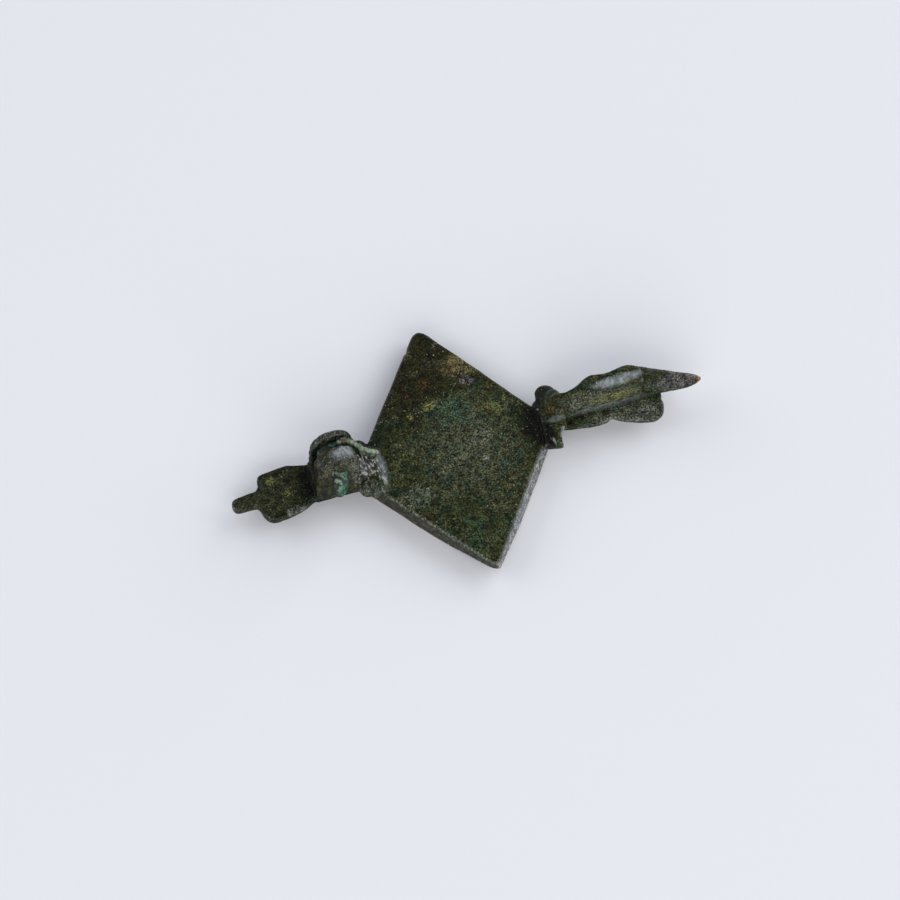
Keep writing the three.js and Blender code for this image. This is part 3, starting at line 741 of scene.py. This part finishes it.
def settled(piece, low, high):
    """Keeps a skin inside its solid's box."""
    points = np.clip(points_of(piece), np.array(low), np.array(high))
    piece.data.vertices.foreach_set("co", points.ravel())
    piece.data.update()


def dressed(piece, node, material):
    """Brings a skin back to metres, paints it and lets it stand for its solid."""
    settled(piece, *box_mm(node))
    keep_relief(piece)
    piece.vertex_groups.clear()
    scaled(piece, MM)
    only(piece)
    bpy.ops.object.shade_smooth()
    piece.data.materials.append(material)
    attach(piece, "root")
    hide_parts(node)


# ------------------------------------------------------------------ the pieces


class BROOCH_OT_body(bpy.types.Operator):
    """Build the skin of the casting: plate, crossbars, terminals, hinge lugs and catchplate"""

    bl_idname = "brooch.body"
    bl_label = "Brooch Body"

    def execute(self, context):
        skin = context.scene.brooch_skin
        body = copy_of_solid(BODY, "brooch_casting")
        grown(body, RIDGE, RIDGE_RADIUS)
        fine_skin(body, skin.grain, rounding=1)
        points = points_of(body)
        soft = sum(near(points, middle, reach) for middle, reach in SOFTENED)
        group(body, "soft", np.clip(soft * 2, 0, 1))
        applied(body, "SMOOTH", factor=0.5, iterations=14, vertex_group="soft")
        by_hinge = near(points, HINGE, HINGE_REACH)
        by_catch = 0.8 * near(points, CATCH_CROSSBAR, CROSSBAR_REACH)
        group(body, "crusted", np.clip(np.maximum(by_hinge, by_catch) * 1.6, 0, 1))
        displaced(body, skin.waviness, 0.55, clouds(2.6, 1))
        displaced(body, skin.pitting, 0.6, clouds(0.5, 3))
        displaced(body, skin.crust, 0.5, clouds(0.7, 2), "crusted")
        dressed(body, BODY, bronze_patina())
        return {"FINISHED"}


class BROOCH_OT_axis(bpy.types.Operator):
    """Build the corroded stump of the axis bar"""

    bl_idname = "brooch.axis"
    bl_label = "Hinge Axis"

    def execute(self, context):
        skin = context.scene.brooch_skin
        axis = copy_of_solid(AXIS, "axis_stump")
        fine_skin(axis, skin.pin_grain, rounding=2)
        displaced(axis, skin.axis_crust, 0.55, clouds(0.6, 2))
        dressed(axis, AXIS, green_crust())
        return {"FINISHED"}


class BROOCH_OT_eye(bpy.types.Operator):
    """Build the broken eye of the lost pin"""

    bl_idname = "brooch.eye"
    bl_label = "Pin Eye"

    def execute(self, context):
        skin = context.scene.brooch_skin
        eye = copy_of_solid(EYE, "pin_eye_remains")
        fine_skin(eye, skin.pin_grain, rounding=2)
        displaced(eye, skin.eye_crust, 0.6, clouds(0.5, 2))
        dressed(eye, EYE, dark_crust())
        return {"FINISHED"}


# ------------------------------------------------------------------ the stage


def pale_table():
    stage = bpy.context.scene.brooch_stage
    material = bpy.data.materials.new("pale_table")
    material.use_nodes = True
    surface = material.node_tree.nodes["Principled BSDF"]
    surface.inputs["Base Color"].default_value = (*stage.floor, 1)
    surface.inputs["Roughness"].default_value = 0.85
    surface.inputs["Specular IOR Level"].default_value = 0.2
    return material


def room_light(strength):
    """A dim, even room."""
    world = bpy.data.worlds.new("room")
    bpy.context.scene.world = world
    world.use_nodes = True
    background = world.node_tree.nodes["Background"]
    background.inputs["Color"].default_value = (0.9, 0.94, 1.0, 1)
    background.inputs["Strength"].default_value = strength


def area_light(name, place, size, power, colour):
    """A soft rectangular light that shines on the brooch."""
    bpy.ops.object.light_add(type="AREA", location=place)
    light = bpy.context.object
    light.name = name
    light.data.shape = "RECTANGLE"
    light.data.size, light.data.size_y = size
    light.data.energy = power
    light.data.color = colour
    light.rotation_euler = Vector(place).to_track_quat("Z", "Y").to_euler()


def camera(stage):
    """The camera looks down on the brooch's back from the south, a little to the west."""
    azimuth, elevation = stage.azimuth, stage.elevation
    level = math.cos(elevation)
    gaze = Vector((math.sin(azimuth) * level, math.cos(azimuth) * level, -math.sin(elevation)))
    bpy.ops.object.camera_add(location=LOOKED_AT - gaze * stage.distance)
    made = bpy.context.object
    made.rotation_euler = gaze.to_track_quat("-Z", "Y").to_euler()
    made.data.lens = stage.lens
    made.data.sensor_width = 36
    made.data.clip_start = 0.01
    bpy.context.scene.camera = made


class BROOCH_OT_stage(bpy.types.Operator):
    """Set the pale table, the window light and the camera"""

    bl_idname = "brooch.stage"
    bl_label = "Stage"

    def execute(self, context):
        stage = context.scene.brooch_stage
        bpy.ops.object.select_all(action="DESELECT")
        bpy.ops.mesh.primitive_plane_add(size=TABLE_SIZE, location=(0, 0, -TABLE_GAP))
        table = context.object
        table.name = "table"
        table.data.materials.append(pale_table())
        room_light(stage.room)
        for name, place, size, setting, share, colour in LAMPS:
            area_light(name, place, size, share * getattr(stage, setting), colour)
        camera(stage)
        context.scene.view_settings.view_transform = "Standard"
        return {"FINISHED"}


class VIEW3D_PT_brooch(bpy.types.Panel):
    """The brooch's pieces and settings, in the sidebar"""

    bl_label = "Roman Plate Brooch"
    bl_space_type = "VIEW_3D"
    bl_region_type = "UI"
    bl_category = "Brooch"

    def draw(self, context):
        for operator in OPERATORS:
            self.layout.operator(operator.bl_idname)
        for held_in, kind in SETTINGS.items():
            box = self.layout.box()
            for name in kind.__annotations__:
                box.prop(getattr(context.scene, held_in), name)


SETTINGS = {
    "brooch_skin": BroochSkinSettings,
    "brooch_patina": BroochPatinaSettings,
    "brooch_stage": BroochStageSettings,
}
OPERATORS = (BROOCH_OT_body, BROOCH_OT_axis, BROOCH_OT_eye, BROOCH_OT_stage)


def register():
    for kind in (*SETTINGS.values(), *OPERATORS, VIEW3D_PT_brooch):
        bpy.utils.register_class(kind)
    for name, kind in SETTINGS.items():
        setattr(bpy.types.Scene, name, bpy.props.PointerProperty(type=kind))


def unregister():
    for name in SETTINGS:
        delattr(bpy.types.Scene, name)
    for kind in (VIEW3D_PT_brooch, *reversed(OPERATORS), *reversed(tuple(SETTINGS.values()))):
        bpy.utils.unregister_class(kind)


def main():
    register()
    bpy.ops.brooch.body()
    bpy.ops.brooch.axis()
    bpy.ops.brooch.eye()
    bpy.ops.brooch.stage()


if __name__ == "__main__":
    main()
